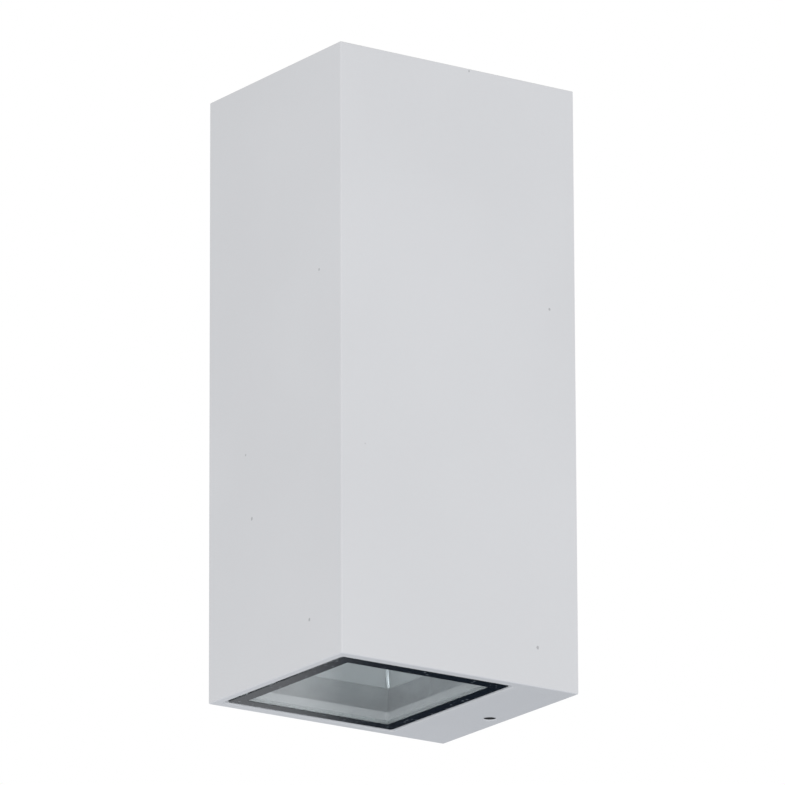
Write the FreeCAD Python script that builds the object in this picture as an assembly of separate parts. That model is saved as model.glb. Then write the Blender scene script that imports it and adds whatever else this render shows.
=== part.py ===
"""Up-and-down outdoor wall lantern: a cast box on a hidden wall bracket, a glass pane in each end.

Frame: origin at the centre of the wall face, +X to the right, +Y into the wall, +Z up. Millimetres.
"""

import FreeCAD, Part
import math
import os

V = FreeCAD.Vector

# ---- driving sizes: the cast housing ----
WIDTH = 90.0  # across the front
DEPTH = 108.0  # from the wall to the front face
HEIGHT = 240.0
WALL = 3.5  # front and side walls
SIDE_RIM = 4.5  # flat rim at each side of the glass
FRONT_RIM = 3.5  # flat rim in front of the glass
MOUTH_DEPTH = 78.0  # the glass opening, front to back
EDGE_RADIUS = 0.6  # outer edges of the casting
MOUTH_BREAK = 0.4  # broken edge round the mouth
LEDGE_WIDTH = 7.0  # how far the glass seat stands in from the mouth
LEDGE_THICKNESS = 3.2
END_WALL = 5.0  # closed rear strip of each end
MOUTH_BACK_WALL = 4.5  # casting behind the mouth, towards the wiring space

# ---- glass panes and their gaskets ----
GLASS = 3.0
GLASS_RECESS = 0.3
GLASS_GAP = 1.25  # open joint round the pane
ENAMEL = 0.15
ENAMEL_WIDTH = 5.5
GASKET = 0.8
GASKET_UPSTAND = 2.2  # how far the gasket climbs round the pane's edge
GASKET_OVERLAP = 6.6  # how far the gasket reaches in from the mouth
SLIP = 0.1  # clearance of pieces that slide or are dropped in
PANE_CORNER = 1.0
PANE_BREAK = 0.3

# ---- wall bracket ----
BRACKET_SHEET = 1.5
BRACKET_SIDE_GAP = 2.5  # casting to the plate's edge
BRACKET_GAP = 0.35  # screw boss to flange
FLANGE_WIDTH = 40.0
FLANGE_LENGTH = 17.0
PLATE_RELIEF = 4.0  # the plate beside a flange stops this far short of the fold
BEND_RADIUS = 1.0  # inner radius of every sheet-metal fold
WALL_HOLE_RADIUS = 2.6
WALL_HOLE_SPACING = 160.0
WALL_SLOT_SPACING = 60.0
WALL_SLOT_LENGTH = 10.0
CABLE_RADIUS = 4.0
GROMMET_SEAT_RADIUS = 9.0
GROMMET_FLANGE = 2.5
GROMMET_FLANGE_RADIUS = 12.0
BEAD_WIDTH = 5.0
BEAD_RISE = 0.9
BEAD_X = 26.0
BEAD_LENGTH = 48.0
BEAD_Z = 52.0

# ---- set screws through the rear strips ----
SET_SCREW_RADIUS = 2.0
SET_SCREW_LENGTH = 6.0
SET_SCREW_FROM_WALL = 6.5
SET_SCREW_OFFSET = 4.0  # to the left of the middle at the lower end
SET_SCREW_CLEARANCE = 0.05
SET_SCREW_TIP_GAP = 0.3
SET_SCREW_CHAMFER = 0.3
SCREW_HOLE_CHAMFER = 0.8
HEX_SOCKET = 2.0  # across flats
HEX_SOCKET_DEPTH = 2.2
SCREW_BOSS_RADIUS = 6.5
SCREW_BOSS_HEIGHT = 3.4

# ---- rear seal ----
SEAL_WIDTH = 2.0
SEAL_DEPTH = 2.5

# ---- gear tray, holder bracket and their screws ----
TRAY_SHEET = 1.5
TRAY_GAP = 0.4  # tray edge to casting
TRAY_BOSS = 8.0
TRAY_BOSS_INSET = 5.0  # screw centre from the side wall's inner face
TRAY_GROMMET_RADIUS = 5.0
TRAY_GROMMET_BORE = 3.6
TRAY_GROMMET_LIP = 1.8
REFLECTOR_SHEET = 0.8
REFLECTOR_GAP = 1.2  # casting to reflector
REFLECTOR_RISE = 11.5  # ledge to reflector
REFLECTOR_HEIGHT = 27.0
REFLECTOR_TO_BOSS = 1.5  # reflector to the casting's columns
REFLECTOR_SEAM = 0.6
REFLECTOR_SCREW_X = 14.0
REFLECTOR_SCREW_RISE = 9.0  # from the reflector's outer edge
SHELF_GAP = 26.0
SHELF_WIDTH = 42.0
SHELF_SHEET = 1.5
SHELF_PAST_LAMP = 15.0
SCREW_RADIUS = 1.5
SCREW_CLEARANCE = 0.1
SCREW_HEAD_RADIUS = 2.9
SCREW_HEAD_HEIGHT = 2.0
TRAY_SCREW_LENGTH = 9.0
FOOT_SCREW_X = 15.0
NUT_FLATS = 5.5
NUT_HEIGHT = 2.4

# ---- lampholders and lamps ----
HOLDER_LENGTH = 38.0
HOLDER_WIDTH = 18.0
HOLDER_HEIGHT = 21.0
HOLDER_SCREW_X = 14.0
PIN_PITCH = 10.0
PIN_NECK_RADIUS = 1.25
PIN_HEAD_RADIUS = 2.4
PIN_NECK = 3.6
PIN_HEAD = 2.6
PIN_CLEARANCE = 0.35
HOLDER_FACE = 3.0  # ceramic the pins lock behind
LAMP_TWIST = 25.0  # degrees from locked to the entry holes
LAMP_LENGTH = 47.0
LAMP_RADIUS = 25.0
LAMP_BASE_RADIUS = 13.5
LAMP_BASE_LENGTH = 8.0
LAMP_RIM_LENGTH = 5.0
LAMP_RIM_WALL = 2.4
LAMP_CUP_DEPTH = 12.0
LAMP_FINS = 18
LAMP_FIN = 1.4
LENS_THICKNESS = 2.4
LED_BOARD_RADIUS = 14.0
LED_BOARD = 1.6

# ---- terminal block and leads ----
POLE_PITCH = 10.0
POLES = 3
BLOCK_Z = -44.0
BLOCK_LENGTH = 17.0
BLOCK_BARREL = 4.2
BLOCK_BASE = 3.0
CLAMP_RADIUS = 3.0
CLAMP_BORE = 2.4
CLAMP_LENGTH = 15.0
TERMINAL_SCREW_RADIUS = 1.6
TOWER_RADIUS = 3.0
TOWER_HEIGHT = 7.5
LEAD_RADIUS = 1.0
LEAD_SPREAD = 1.6  # from the bush's centre to each lead
LEAD_OFFSET = 1.15  # two leads side by side in one terminal
LEAD_BEND = 5.0
LEAD_GRIP = 4.0  # how far a lead reaches into its holder
TAG_RADIUS = 4.2
TAG_SHEET = 0.8
EARTH_STRAIGHT = 11.0  # the earth lead's straight runs, under the tag and over the block
EARTH_DROP = 13.0
EARTH_X = 26.0
EARTH_Z = 16.0
BLOCK_EAR = 7.0
BLOCK_WEB = 8.0  # height of the ears and of the bridge between the poles
BLOCK_SADDLE = 6.0  # width of the foot under each barrel
CLAMP_SCREW_SUNK = 1.5  # screw's end below the tower's rim
CLAMP_SCREW_SLOT = 0.8
TAG_STEM = 3.0  # width, and length past the ring
TAG_BARREL_WALL = 0.7
TAG_BARREL_LENGTH = 5.0
TAG_BARREL_STOP = 1.5  # the part of the barrel that the lead stops short of

# ---- worked out from the sizes above ----
X_OUT = WIDTH / 2
Z_OUT = HEIGHT / 2
Y_FRONT = -DEPTH
X_IN = X_OUT - WALL
Y_IN = Y_FRONT + WALL
BRACKET_WIDTH = 2 * (X_IN - BRACKET_SIDE_GAP)
BRACKET_HEIGHT = 2 * (Z_OUT - END_WALL - SCREW_BOSS_HEIGHT - BRACKET_GAP)
LAMP_CUP_RADIUS = LAMP_RADIUS - LAMP_RIM_WALL
MOUTH_X = X_OUT - SIDE_RIM
MOUTH_Y0 = Y_FRONT + FRONT_RIM
MOUTH_Y1 = MOUTH_Y0 + MOUTH_DEPTH
LAMP_Y = (MOUTH_Y0 + MOUTH_Y1) / 2
BORDER_OUTER = -Z_OUT + GLASS_RECESS
PANE_OUTER = BORDER_OUTER + ENAMEL
PANE_INNER = PANE_OUTER + GLASS
GASKET_OUTER = PANE_INNER
SEAT_Z = GASKET_OUTER + GASKET + SLIP / 2
LEDGE_TOP = SEAT_Z + LEDGE_THICKNESS
REFLECTOR_BOTTOM = LEDGE_TOP + REFLECTOR_RISE
REFLECTOR_TOP = REFLECTOR_BOTTOM + REFLECTOR_HEIGHT
REFLECTOR_SCREW_Z = -(REFLECTOR_BOTTOM + REFLECTOR_SCREW_RISE)
TRAY_BOSS_Z = -(REFLECTOR_TOP + REFLECTOR_TO_BOSS + TRAY_BOSS / 2)
TRAY_BACK = MOUTH_Y1  # the tray's rear face lies in line with the mouth's rear edge
TRAY_FRONT = TRAY_BACK - TRAY_SHEET
FLANGE_FACE = -BRACKET_HEIGHT / 2  # outer face of the lower flange
SCREW_X = -SET_SCREW_OFFSET
SCREW_Y = -SET_SCREW_FROM_WALL
SHELF_FACE = -(SHELF_GAP / 2 + SHELF_SHEET)  # outer face of the lower shelf
HOLDER_FRONT = SHELF_FACE - HOLDER_HEIGHT
LAMP_FRONT = HOLDER_FRONT - LAMP_LENGTH
PIN_Z = HOLDER_FRONT + PIN_NECK  # underside of the pin heads
CHAMBER_Z = HOLDER_FRONT + HOLDER_FACE
CHAMBER_TOP = PIN_Z + PIN_HEAD + PIN_NECK - HOLDER_FACE
BARREL_Y = TRAY_BACK + BLOCK_BASE + BLOCK_BARREL
BLOCK_TOP = BLOCK_Z + BLOCK_LENGTH / 2


# ---- helpers ----
def block(x0, x1, y0, y1, z0, z1):
    return Part.makeBox(x1 - x0, y1 - y0, z1 - z0, V(x0, y0, z0))


def rod(radius, start, axis, length):
    return Part.makeCylinder(radius, length, V(*start), V(*axis))


def ring_block(half_x, y0, y1, inset, z0, z1):
    """A rectangular ring between two heights, its band as wide as the inset."""
    outer = block(-half_x, half_x, y0, y1, z0, z1)
    inner = block(-half_x + inset, half_x - inset, y0 + inset, y1 - inset, z0 - 1, z1 + 1)
    return outer.cut(inner)


def edges_along(shape, direction, test):
    """Straight edges of a shape that run along a direction and whose middle passes a test."""
    found = []
    for edge in shape.Edges:
        if len(edge.Vertexes) != 2:
            continue
        run = edge.Vertexes[1].Point - edge.Vertexes[0].Point
        along = run.Length > 1e-6 and run.cross(direction).Length < 1e-6 * run.Length
        if along and abs(edge.Length - run.Length) < 1e-6 and test(edge.CenterOfMass):
            found.append(edge)
    return found


def hexagon(flats, centre, axis, length):
    """A hexagonal prism from a centre along an axis."""
    radius = flats / math.sqrt(3)
    turns = [math.radians(60 * k) for k in range(6)]
    points = [V(radius * math.cos(a), radius * math.sin(a), 0) for a in turns]
    face = Part.Face(Part.makePolygon(points + points[:1]))
    prism = face.extrude(V(0, 0, length))
    prism.Placement = FreeCAD.Placement(V(*centre), FreeCAD.Rotation(V(0, 0, 1), V(*axis)))
    return prism


def slot(half_length, radius, centre, thickness):
    """A cutter for a slot that runs along X, through a plate that faces Y."""
    straight = half_length - radius
    x, y, z = centre
    cutter = block(x - straight, x + straight, y, y + thickness, z - radius, z + radius)
    for side in (-1, 1):
        cutter = cutter.fuse(rod(radius, (x + side * straight, y, z), (0, 1, 0), thickness))
    return cutter


def turned_over(shape):
    """The same piece at the upper end: half a turn about the Y axis."""
    copy = shape.copy()
    copy.rotate(V(0, 0, 0), V(0, 1, 0), 180)
    return copy


def pan_screw(head_at, axis, length, radius=SCREW_RADIUS, head=SCREW_HEAD_RADIUS):
    """A pan-head screw. The axis points from under the head to the tip."""
    back = V(*axis).multiply(-1)
    under = V(*head_at)
    shank = Part.makeCylinder(radius, length, under, V(*axis))
    cap = Part.makeCylinder(head, SCREW_HEAD_HEIGHT, under, back)
    rim = [e for e in cap.Edges if e.Closed and (e.CenterOfMass - under).Length > SCREW_HEAD_HEIGHT / 2]
    cap = cap.makeFillet(SCREW_HEAD_HEIGHT * 0.4, rim)
    screw = cap.fuse(shank)
    top = under + back * SCREW_HEAD_HEIGHT
    groove = radius * 0.35
    across = block(-radius * 1.2, radius * 1.2, -groove, groove, 0, SCREW_HEAD_HEIGHT * 0.45)
    upright = block(-groove, groove, -radius * 1.2, radius * 1.2, 0, SCREW_HEAD_HEIGHT * 0.45)
    recess = across.fuse(upright)
    recess.Placement = FreeCAD.Placement(top, FreeCAD.Rotation(V(0, 0, 1), V(*axis)))
    return screw.cut(recess).removeSplitter()


def tube_path(points, bend):
    """A wire of straight runs joined by tangent arcs through a list of points."""
    pts = [V(*p) for p in points]
    edges = []
    start = pts[0]
    for before, here, after in zip(pts, pts[1:], pts[2:]):
        into = (here - before).normalize()
        out = (after - here).normalize()
        turn = into.getAngle(out)
        run = min((here - before).Length, (after - here).Length)
        radius = min(bend, 0.45 * run / math.tan(turn / 2))
        reach = radius * math.tan(turn / 2)
        first = here - into * reach
        last = here + out * reach
        centre_way = (out - into).normalize()
        middle = here + centre_way * (radius / math.cos(turn / 2) - radius)
        edges.append(Part.LineSegment(start, first).toShape())
        edges.append(Part.Arc(first, middle, last).toShape())
        start = last
    edges.append(Part.LineSegment(start, pts[-1]).toShape())
    return Part.Wire(edges)


def lead(points):
    """An insulated lead along a route."""
    path = tube_path(points, LEAD_BEND)
    way = V(*points[1]) - V(*points[0])
    section = Part.Wire(Part.makeCircle(LEAD_RADIUS, V(*points[0]), way))
    return path.makePipeShell([section], True, True)


# ---- housing ----
def end_block():
    """The thick lower end that holds the mouth, its ledge and the rear strip, solid before cutting."""
    mouth_part = block(-X_IN, X_IN, Y_IN, MOUTH_Y1 + MOUTH_BACK_WALL, -Z_OUT + WALL, LEDGE_TOP)
    strip = block(-X_IN, X_IN, MOUTH_Y1, 0, -Z_OUT + WALL, -Z_OUT + END_WALL)
    boss_foot = (SCREW_X, SCREW_Y, -Z_OUT + WALL)
    boss = rod(SCREW_BOSS_RADIUS, boss_foot, (0, 0, 1), END_WALL - WALL + SCREW_BOSS_HEIGHT)
    inside = block(-X_IN, X_IN, Y_IN, 0, -Z_OUT, 0)
    return mouth_part.fuse([strip, boss]).common(inside)


def end_cut():
    """What is cut from the lower end: the recess for the glass, the light opening and the screw hole."""
    recess = block(-MOUTH_X, MOUTH_X, MOUTH_Y0, MOUTH_Y1, -Z_OUT - 1, SEAT_Z)
    recess = recess.makeFillet(PANE_CORNER, edges_along(recess, V(0, 0, 1), lambda p: True))
    light = block(
        -MOUTH_X + LEDGE_WIDTH,
        MOUTH_X - LEDGE_WIDTH,
        MOUTH_Y0 + LEDGE_WIDTH,
        MOUTH_Y1 - LEDGE_WIDTH,
        SEAT_Z - 1,
        LEDGE_TOP + 1,
    )
    light = light.makeFillet(2 * PANE_CORNER, edges_along(light, V(0, 0, 1), lambda p: True))
    hole_radius = SET_SCREW_RADIUS + SET_SCREW_CLEARANCE
    hole = rod(hole_radius, (SCREW_X, SCREW_Y, -Z_OUT - 1), (0, 0, 1), END_WALL + SCREW_BOSS_HEIGHT + 2)
    wide = hole_radius + SCREW_HOLE_CHAMFER
    hole_at = V(SCREW_X, SCREW_Y, -Z_OUT)
    mouth_of_hole = Part.makeCone(wide, hole_radius, SCREW_HOLE_CHAMFER, hole_at, V(0, 0, 1))
    return recess.fuse([light, hole, mouth_of_hole])


def tray_bosses(side, height):
    """One column on a side wall, from the front wall to the tray, with its screw hole."""
    x0, x1 = sorted((side * X_IN, side * (X_IN - TRAY_BOSS)))
    column = block(x0, x1, Y_IN, TRAY_FRONT, height - TRAY_BOSS / 2, height + TRAY_BOSS / 2)
    hole = rod(
        SCREW_RADIUS + SCREW_CLEARANCE,
        (side * (X_IN - TRAY_BOSS_INSET), TRAY_FRONT - TRAY_SCREW_LENGTH, height),
        (0, 1, 0),
        TRAY_SCREW_LENGTH + 1,
    )
    return column, hole


def housing():
    """The casting: a box that is open at the wall, with a recessed mouth in each end."""
    outer = block(-X_OUT, X_OUT, Y_FRONT, 0, -Z_OUT, Z_OUT)
    off_the_wall = [e for e in outer.Edges if e.CenterOfMass.y < -1]
    outer = outer.makeFillet(EDGE_RADIUS, off_the_wall)
    body = outer.cut(block(-X_IN, X_IN, Y_IN, 1, -Z_OUT + WALL, Z_OUT - WALL))
    body = body.fuse([end_block(), turned_over(end_block())])
    columns = [tray_bosses(side, height) for side in (-1, 1) for height in (-TRAY_BOSS_Z, TRAY_BOSS_Z)]
    body = body.fuse([column for column, hole in columns])
    body = body.cut([hole for column, hole in columns])
    body = body.cut([end_cut(), turned_over(end_cut())]).removeSplitter()
    rebate = block(-X_IN - SEAL_WIDTH, X_IN + SEAL_WIDTH, -SEAL_DEPTH, 1, -seal_outer_z(), seal_outer_z())
    body = body.cut(rebate).removeSplitter()
    mouth_edges = [
        e
        for e in body.Edges
        if abs(abs(e.CenterOfMass.z) - Z_OUT) < 1e-4
        and MOUTH_Y0 - 0.01 <= e.BoundBox.YMin
        and e.BoundBox.YMax <= MOUTH_Y1 + 0.01
        and e.BoundBox.XMin >= -MOUTH_X - 0.01
        and e.BoundBox.XMax <= MOUTH_X + 0.01
    ]
    return body.makeChamfer(MOUTH_BREAK, mouth_edges)


def seal_outer_z():
    return Z_OUT - END_WALL + SEAL_WIDTH


def rear_seal():
    """A foam frame in the casting's rear rebate, flush with the wall face."""
    half_x = X_IN + SEAL_WIDTH - SLIP
    half_z = seal_outer_z() - SLIP
    outer = block(-half_x, half_x, -SEAL_DEPTH, 0, -half_z, half_z)
    inner = block(-X_IN, X_IN, -SEAL_DEPTH - 1, 1, -Z_OUT + END_WALL, Z_OUT - END_WALL)
    return outer.cut(inner)


def set_screw():
    """Cup-point set screw in the lower rear strip, its tip just clear of the bracket's flange."""
    tip = FLANGE_FACE - SET_SCREW_TIP_GAP
    bottom = tip - SET_SCREW_LENGTH
    body = rod(SET_SCREW_RADIUS, (SCREW_X, SCREW_Y, bottom), (0, 0, 1), SET_SCREW_LENGTH)
    body = body.makeChamfer(SET_SCREW_CHAMFER, [e for e in body.Edges if e.Closed])
    socket = hexagon(HEX_SOCKET, (SCREW_X, SCREW_Y, bottom - 1), (0, 0, 1), HEX_SOCKET_DEPTH + 1)
    dip = SET_SCREW_RADIUS * 0.5
    cup = Part.makeCone(0, dip, dip, V(SCREW_X, SCREW_Y, tip - dip), V(0, 0, 1))
    return body.cut([socket, cup])


# ---- glass ----
def glass_pane():
    """The toughened pane, its inner edges broken."""
    half_x = MOUTH_X - GLASS_GAP
    pane = block(-half_x, half_x, MOUTH_Y0 + GLASS_GAP, MOUTH_Y1 - GLASS_GAP, PANE_OUTER, PANE_INNER)
    pane = pane.makeFillet(PANE_CORNER, edges_along(pane, V(0, 0, 1), lambda p: True))
    rim = [e for e in pane.Edges if abs(e.CenterOfMass.z - PANE_INNER) < 1e-6]
    return pane.makeChamfer(PANE_BREAK, rim)


def glass_border():
    """The fired enamel frame on the pane's outer face."""
    half_x = MOUTH_X - GLASS_GAP - SLIP
    y0 = MOUTH_Y0 + GLASS_GAP + SLIP
    y1 = MOUTH_Y1 - GLASS_GAP - SLIP
    ring = ring_block(half_x, y0, y1, ENAMEL_WIDTH, BORDER_OUTER, PANE_OUTER)
    return ring.makeFillet(PANE_CORNER, edges_along(ring, V(0, 0, 1), lambda p: abs(p.x) > half_x - 1))


def glass_gasket():
    """A silicone frame that beds the pane on its ledge, with an upstand in the joint round it."""
    half_x = MOUTH_X - SLIP
    y0 = MOUTH_Y0 + SLIP
    y1 = MOUTH_Y1 - SLIP
    flat = ring_block(half_x, y0, y1, GASKET_OVERLAP, GASKET_OUTER, GASKET_OUTER + GASKET)
    upstand = ring_block(half_x, y0, y1, GLASS_GAP - 2 * SLIP, GASKET_OUTER - GASKET_UPSTAND, GASKET_OUTER)
    ring = flat.fuse(upstand).removeSplitter()
    return ring.makeFillet(
        PANE_CORNER * 0.8, edges_along(ring, V(0, 0, 1), lambda p: abs(p.x) > half_x - 0.01)
    )


# ---- wall bracket ----
def bracket_fold(side):
    """The folded flange at the bottom (-1) or top (+1) of the bracket, with the neck it hangs on."""
    outer = side * BRACKET_HEIGHT / 2
    inner = outer - side * BRACKET_SHEET
    root = outer - side * 2 * PLATE_RELIEF
    neck_z = sorted((root, outer))
    tab_z = sorted((inner, outer))
    neck = block(-FLANGE_WIDTH / 2, FLANGE_WIDTH / 2, -BRACKET_SHEET, 0, neck_z[0], neck_z[1])
    tab = block(-FLANGE_WIDTH / 2, FLANGE_WIDTH / 2, -FLANGE_LENGTH, 0, tab_z[0], tab_z[1])
    fold = neck.fuse(tab).removeSplitter()
    outside = edges_along(fold, V(1, 0, 0), lambda p: abs(p.y) < 1e-6 and abs(p.z - outer) < 1e-6)
    fold = fold.makeFillet(BEND_RADIUS + BRACKET_SHEET, outside)
    inside = edges_along(
        fold, V(1, 0, 0), lambda p: abs(p.y + BRACKET_SHEET) < 1e-6 and abs(p.z - inner) < 1e-6
    )
    fold = fold.makeFillet(BEND_RADIUS, inside)
    tips = edges_along(fold, V(0, 0, 1), lambda p: abs(p.y + FLANGE_LENGTH) < 1e-6)
    return fold.makeFillet(3 * BEND_RADIUS, tips)


def wall_bracket():
    """The sheet-steel plate on the wall, with a flange at each end and stiffening beads."""
    half_z = BRACKET_HEIGHT / 2 - PLATE_RELIEF
    plate = block(-BRACKET_WIDTH / 2, BRACKET_WIDTH / 2, -BRACKET_SHEET, 0, -half_z, half_z)
    plate = plate.makeFillet(3 * BEND_RADIUS, edges_along(plate, V(0, 1, 0), lambda p: True))
    bracket = plate.fuse([bracket_fold(-1), bracket_fold(1)]).removeSplitter()
    cuts = [rod(GROMMET_SEAT_RADIUS, (0, -BRACKET_SHEET - 1, 0), (0, 1, 0), BRACKET_SHEET + 2)]
    for side in (-1, 1):
        hole_at = (0, -BRACKET_SHEET - 1, side * WALL_HOLE_SPACING / 2)
        cuts.append(rod(WALL_HOLE_RADIUS, hole_at, (0, 1, 0), BRACKET_SHEET + 2))
        slot_at = (side * WALL_SLOT_SPACING / 2, -BRACKET_SHEET - 1, 0)
        cuts.append(slot(WALL_SLOT_LENGTH / 2, WALL_HOLE_RADIUS, slot_at, BRACKET_SHEET + 2))
    bracket = bracket.cut(cuts)
    return add_beads(bracket)


def add_beads(bracket):
    """Pressed stiffening beads: raised towards the room and hollow on the wall side."""
    raised = []
    hollow = []
    for x in (-BEAD_X, BEAD_X):
        for z in (-BEAD_Z, BEAD_Z):
            raised.append(bead(x, z, BEAD_WIDTH / 2, -BRACKET_SHEET - BEAD_RISE, 0))
            hollow.append(bead(x, z, BEAD_WIDTH / 2 - BEAD_RISE, -BEAD_RISE, 0.5))
    return bracket.fuse(raised).cut(hollow).removeSplitter()


def bead(x, z, radius, y0, y1):
    straight = BEAD_LENGTH / 2 - radius
    solid = block(x - radius, x + radius, y0, y1, z - straight, z + straight)
    for end in (-1, 1):
        solid = solid.fuse(rod(radius, (x, y0, z + end * straight), (0, 1, 0), y1 - y0))
    return solid.removeSplitter()


def cable_grommet():
    """A rubber bush in the bracket's middle for the supply cable, flush with the wall side."""
    bush = rod(GROMMET_SEAT_RADIUS - SLIP / 2, (0, -BRACKET_SHEET, 0), (0, 1, 0), BRACKET_SHEET)
    front = -BRACKET_SHEET - GROMMET_FLANGE
    collar = rod(GROMMET_FLANGE_RADIUS, (0, front, 0), (0, 1, 0), GROMMET_FLANGE)
    rim = [e for e in collar.Edges if e.Closed and abs(e.CenterOfMass.y - front) < 1e-6]
    collar = collar.makeFillet(1.0, rim)
    bore = rod(CABLE_RADIUS, (0, front - 1, 0), (0, 1, 0), GROMMET_FLANGE + BRACKET_SHEET + 2)
    return bush.fuse(collar).cut(bore).removeSplitter()


# ---- gear tray and what is screwed to it ----
def screw_hole(x, y, z, axis, length, radius=SCREW_RADIUS):
    return rod(radius + SCREW_CLEARANCE, (x, y, z), axis, length)


def tray_screw_places():
    x = X_IN - TRAY_BOSS_INSET
    return [(side * x, height) for side in (-1, 1) for height in (-TRAY_BOSS_Z, TRAY_BOSS_Z)]


def reflector_screw_places():
    x, z = REFLECTOR_SCREW_X, REFLECTOR_SCREW_Z
    return [(-x, -z), (x, -z), (-x, z), (x, z)]


def gear_tray():
    """The sheet-metal plate that parts the lamp space from the wiring space."""
    half_x = X_IN - TRAY_GAP
    top = -LEDGE_TOP - TRAY_GAP
    plate = block(-half_x, half_x, TRAY_FRONT, TRAY_BACK, -top, top)
    plate = plate.makeFillet(2 * BEND_RADIUS, edges_along(plate, V(0, 1, 0), lambda p: True))
    places = tray_screw_places() + reflector_screw_places()
    places += [(-FOOT_SCREW_X, 0), (FOOT_SCREW_X, 0), (EARTH_X, EARTH_Z)]
    places += [(-block_screw_x(), BLOCK_Z), (block_screw_x(), BLOCK_Z)]
    cuts = [screw_hole(x, TRAY_FRONT - 1, z, (0, 1, 0), TRAY_SHEET + 2) for x, z in places]
    cuts.append(rod(TRAY_GROMMET_RADIUS, (0, TRAY_FRONT - 1, 0), (0, 1, 0), TRAY_SHEET + 2))
    return plate.cut(cuts)


def tray_screws():
    """The four screws that hold the tray to the casting's columns."""
    return [pan_screw((x, TRAY_BACK, z), (0, -1, 0), TRAY_SCREW_LENGTH) for x, z in tray_screw_places()]


def tray_bush():
    """The rubber bush that leads the wires through the tray and the bracket's web."""
    front = TRAY_FRONT - SHELF_SHEET
    thickness = TRAY_BACK - front
    neck = rod(TRAY_GROMMET_RADIUS - SLIP / 2, (0, front, 0), (0, 1, 0), thickness)
    lip_radius = TRAY_GROMMET_RADIUS + TRAY_GROMMET_LIP
    lips = [
        rod(lip_radius, (0, front - TRAY_GROMMET_LIP, 0), (0, 1, 0), TRAY_GROMMET_LIP),
        rod(lip_radius, (0, TRAY_BACK, 0), (0, 1, 0), TRAY_GROMMET_LIP),
    ]
    through = thickness + 4 * TRAY_GROMMET_LIP
    bore = rod(TRAY_GROMMET_BORE, (0, front - TRAY_GROMMET_LIP - 1, 0), (0, 1, 0), through)
    return neck.fuse(lips).cut(bore).removeSplitter()


def holder_bracket():
    """A folded channel on the tray that carries a lampholder above and one below."""
    half = -SHELF_FACE
    front = LAMP_Y - SHELF_PAST_LAMP
    channel = block(-SHELF_WIDTH / 2, SHELF_WIDTH / 2, front, TRAY_FRONT, -half, half)
    inside = half - SHELF_SHEET
    channel = channel.cut(
        block(-SHELF_WIDTH, SHELF_WIDTH, front - 1, TRAY_FRONT - SHELF_SHEET, -inside, inside)
    )
    fold_y = TRAY_FRONT - SHELF_SHEET
    channel = channel.makeFillet(
        BEND_RADIUS, edges_along(channel, V(1, 0, 0), lambda p: abs(p.y - fold_y) < 1e-6)
    )
    channel = channel.makeFillet(
        BEND_RADIUS + SHELF_SHEET,
        edges_along(channel, V(1, 0, 0), lambda p: abs(p.y - TRAY_FRONT) < 1e-6),
    )
    cuts = [rod(TRAY_GROMMET_RADIUS, (0, fold_y - 1, 0), (0, 1, 0), SHELF_SHEET + 2)]
    for side in (-1, 1):
        cuts.append(screw_hole(side * FOOT_SCREW_X, fold_y - 1, 0, (0, 1, 0), SHELF_SHEET + 2))
        cuts.append(screw_hole(side * HOLDER_SCREW_X, LAMP_Y, -half - 1, (0, 0, 1), 2 * half + 2))
        cuts.append(screw_hole(side * PIN_PITCH / 2, LAMP_Y, -half - 1, (0, 0, 1), 2 * half + 2))
    return channel.cut(cuts)


def holder_bracket_screws():
    """Two screws through the channel's web and the tray, with their nuts."""
    head_y = TRAY_FRONT - SHELF_SHEET
    length = SHELF_SHEET + TRAY_SHEET + NUT_HEIGHT + 1
    solids = []
    for side in (-1, 1):
        x = side * FOOT_SCREW_X
        solids.append(pan_screw((x, head_y, 0), (0, 1, 0), length))
    return solids


def holder_bracket_nuts():
    solids = []
    for side in (-1, 1):
        x = side * FOOT_SCREW_X
        nut = hexagon(NUT_FLATS, (x, TRAY_BACK, 0), (0, 1, 0), NUT_HEIGHT)
        solids.append(nut.cut(screw_hole(x, TRAY_BACK - 1, 0, (0, 1, 0), NUT_HEIGHT + 2)))
    return solids


def reflector():
    """A folded aluminium liner round the lower lamp, open at both ends, with a seam at one corner."""
    half_x = X_IN - REFLECTOR_GAP
    y0 = Y_IN + REFLECTOR_GAP
    z0 = REFLECTOR_BOTTOM
    z1 = REFLECTOR_TOP
    outer = block(-half_x, half_x, y0, TRAY_FRONT, z0, z1)
    outer = outer.makeFillet(BEND_RADIUS + REFLECTOR_SHEET, edges_along(outer, V(0, 0, 1), lambda p: True))
    inner_x = half_x - REFLECTOR_SHEET
    inner = block(-inner_x, inner_x, y0 + REFLECTOR_SHEET, TRAY_FRONT - REFLECTOR_SHEET, z0, z1)
    inner = inner.makeFillet(BEND_RADIUS, edges_along(inner, V(0, 0, 1), lambda p: True))
    seam_y = TRAY_FRONT - REFLECTOR_SHEET - BEND_RADIUS - REFLECTOR_SEAM
    seam = block(-half_x - 1, -inner_x + 0.1, seam_y, seam_y + REFLECTOR_SEAM, z0 - 1, z1 + 1)
    holes = [
        screw_hole(x, TRAY_FRONT - REFLECTOR_SHEET - 1, z, (0, 1, 0), REFLECTOR_SHEET + 2)
        for x, z in reflector_screw_places()
        if z < 0
    ]
    return outer.cut([inner, seam] + holes)


def reflector_screws():
    y = TRAY_FRONT - REFLECTOR_SHEET
    length = REFLECTOR_SHEET + TRAY_SHEET + 2.5
    return [pan_screw((x, y, z), (0, 1, 0), length) for x, z in reflector_screw_places()]


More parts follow.
